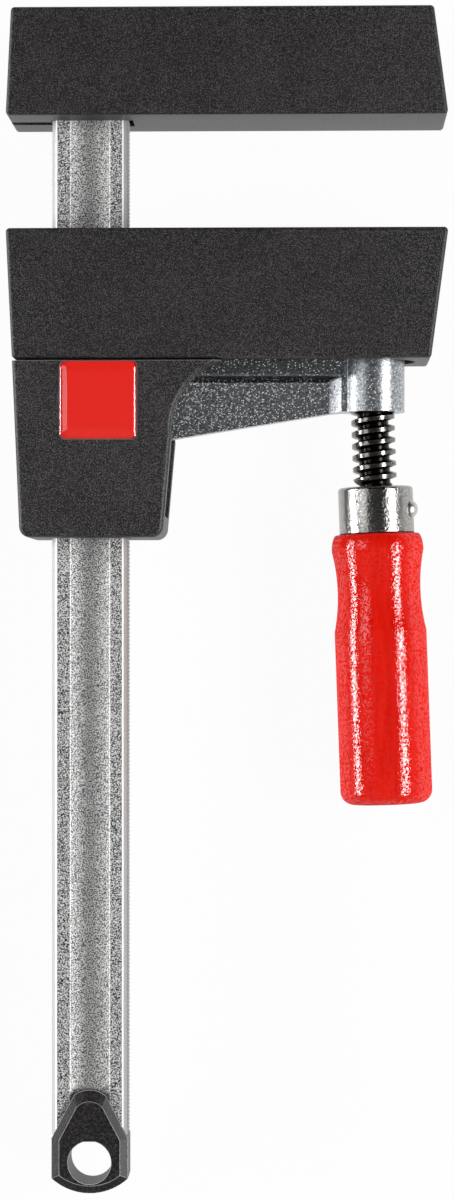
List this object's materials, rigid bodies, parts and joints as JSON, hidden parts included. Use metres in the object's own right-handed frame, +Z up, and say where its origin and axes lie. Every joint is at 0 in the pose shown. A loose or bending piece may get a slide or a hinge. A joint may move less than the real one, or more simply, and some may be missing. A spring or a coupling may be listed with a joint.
{
  "type": "parallel clamp",
  "caption": "Light parallel clamp: fixed and sliding jaw on a steel rail, the sliding one pushed by a handled screw in a tilting arm.",
  "frame": {"origin": "middle of the clamp seen from above, on the surface that it lies on", "axes": "+Y along the rail towards the fixed jaw, +X from the rail to the jaws' noses, +Z up, out of the broad side that carries the badge"},
  "size_m": [0.1116, 0.3008, 0.0309],
  "materials": {
    "rail_steel": "zinc plated over a blasted grain",
    "black_casing": "fine moulded grain",
    "core_iron": "as cast",
    "plain_steel": "bright, oiled",
    "red_foil": "printed red",
    "clear_resin": "clear and glossy",
    "arm_enamel": "dark silver hammered enamel",
    "blackened_steel": "black oxide, oiled",
    "nickelled_steel": "bright nickel plate",
    "red_lacquer": "turned wood under glossy red lacquer"
  },
  "bodies": {
    "root": {"rail": "rail_steel", "fixed_jaw_shell": "black_casing", "fixed_jaw_core": "core_iron", "fixed_jaw_pins": "plain_steel", "rail_end_cap": "black_casing"},
    "sliding_jaw": {"sliding_jaw_shell": "black_casing", "jaw_channel": "plain_steel", "neck_housing": "black_casing", "badge_foil": "red_foil", "badge_dome": "clear_resin", "thrust_cup": "plain_steel", "snap_ring": "plain_steel"},
    "arm": {"sliding_arm": "arm_enamel"},
    "screw": {"spindle": "blackened_steel", "ferrule": "nickelled_steel", "cross_pin": "nickelled_steel", "handle": "red_lacquer"}
  },
  "joints": [
    {"name": "jaw_slide", "type": "slide", "parent": "root", "child": "sliding_jaw", "axis": [0, 1, 0], "range_m": [-0.1315, 0.0285]},
    {"name": "screw_turn", "type": "hinge", "parent": "sliding_jaw", "child": "screw", "pos_m": [0.03576, 0.08425, 0.015], "axis": [-0.0359, 0.9994, 0], "range_deg": [0, 2160]},
    {"name": "arm_travel", "type": "slide", "parent": "sliding_jaw", "child": "arm", "axis": [0.0359, -0.9994, 0], "range_m": [0, 0.018]}
  ],
  "couplings": [
    {"joint": "screw_turn", "follows": "arm_travel", "rad_per_m": 2094.4}
  ]
}
